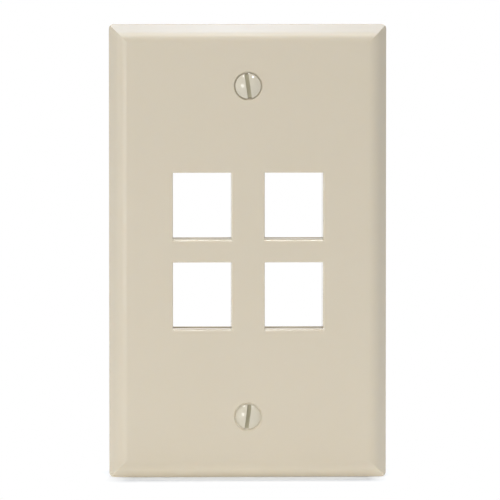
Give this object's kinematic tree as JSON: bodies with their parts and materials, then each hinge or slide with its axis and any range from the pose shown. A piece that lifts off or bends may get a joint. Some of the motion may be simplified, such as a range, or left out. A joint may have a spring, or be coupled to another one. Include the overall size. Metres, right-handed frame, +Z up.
{
  "type": "keystone faceplate",
  "caption": "Flat rectangular wall plate with bevelled edges, rectangular ports that hold snap-in jacks, and a slotted oval-head screw above and below the ports.",
  "frame": {"origin": "on the wall's surface, midway between the two mounting screws", "axes": "+Z up along the plate, +Y into the wall along the screws, so the face looks towards -Y and +X is to the right of a person who looks at it"},
  "size_m": [0.0698, 0.0268, 0.1142],
  "materials": {
    "faceplate": "satin",
    "mounting_screws": "gloss"
  },
  "bodies": {
    "root": {"faceplate": "faceplate", "mounting_screws": "mounting_screws"}
  },
  "joints": []
}
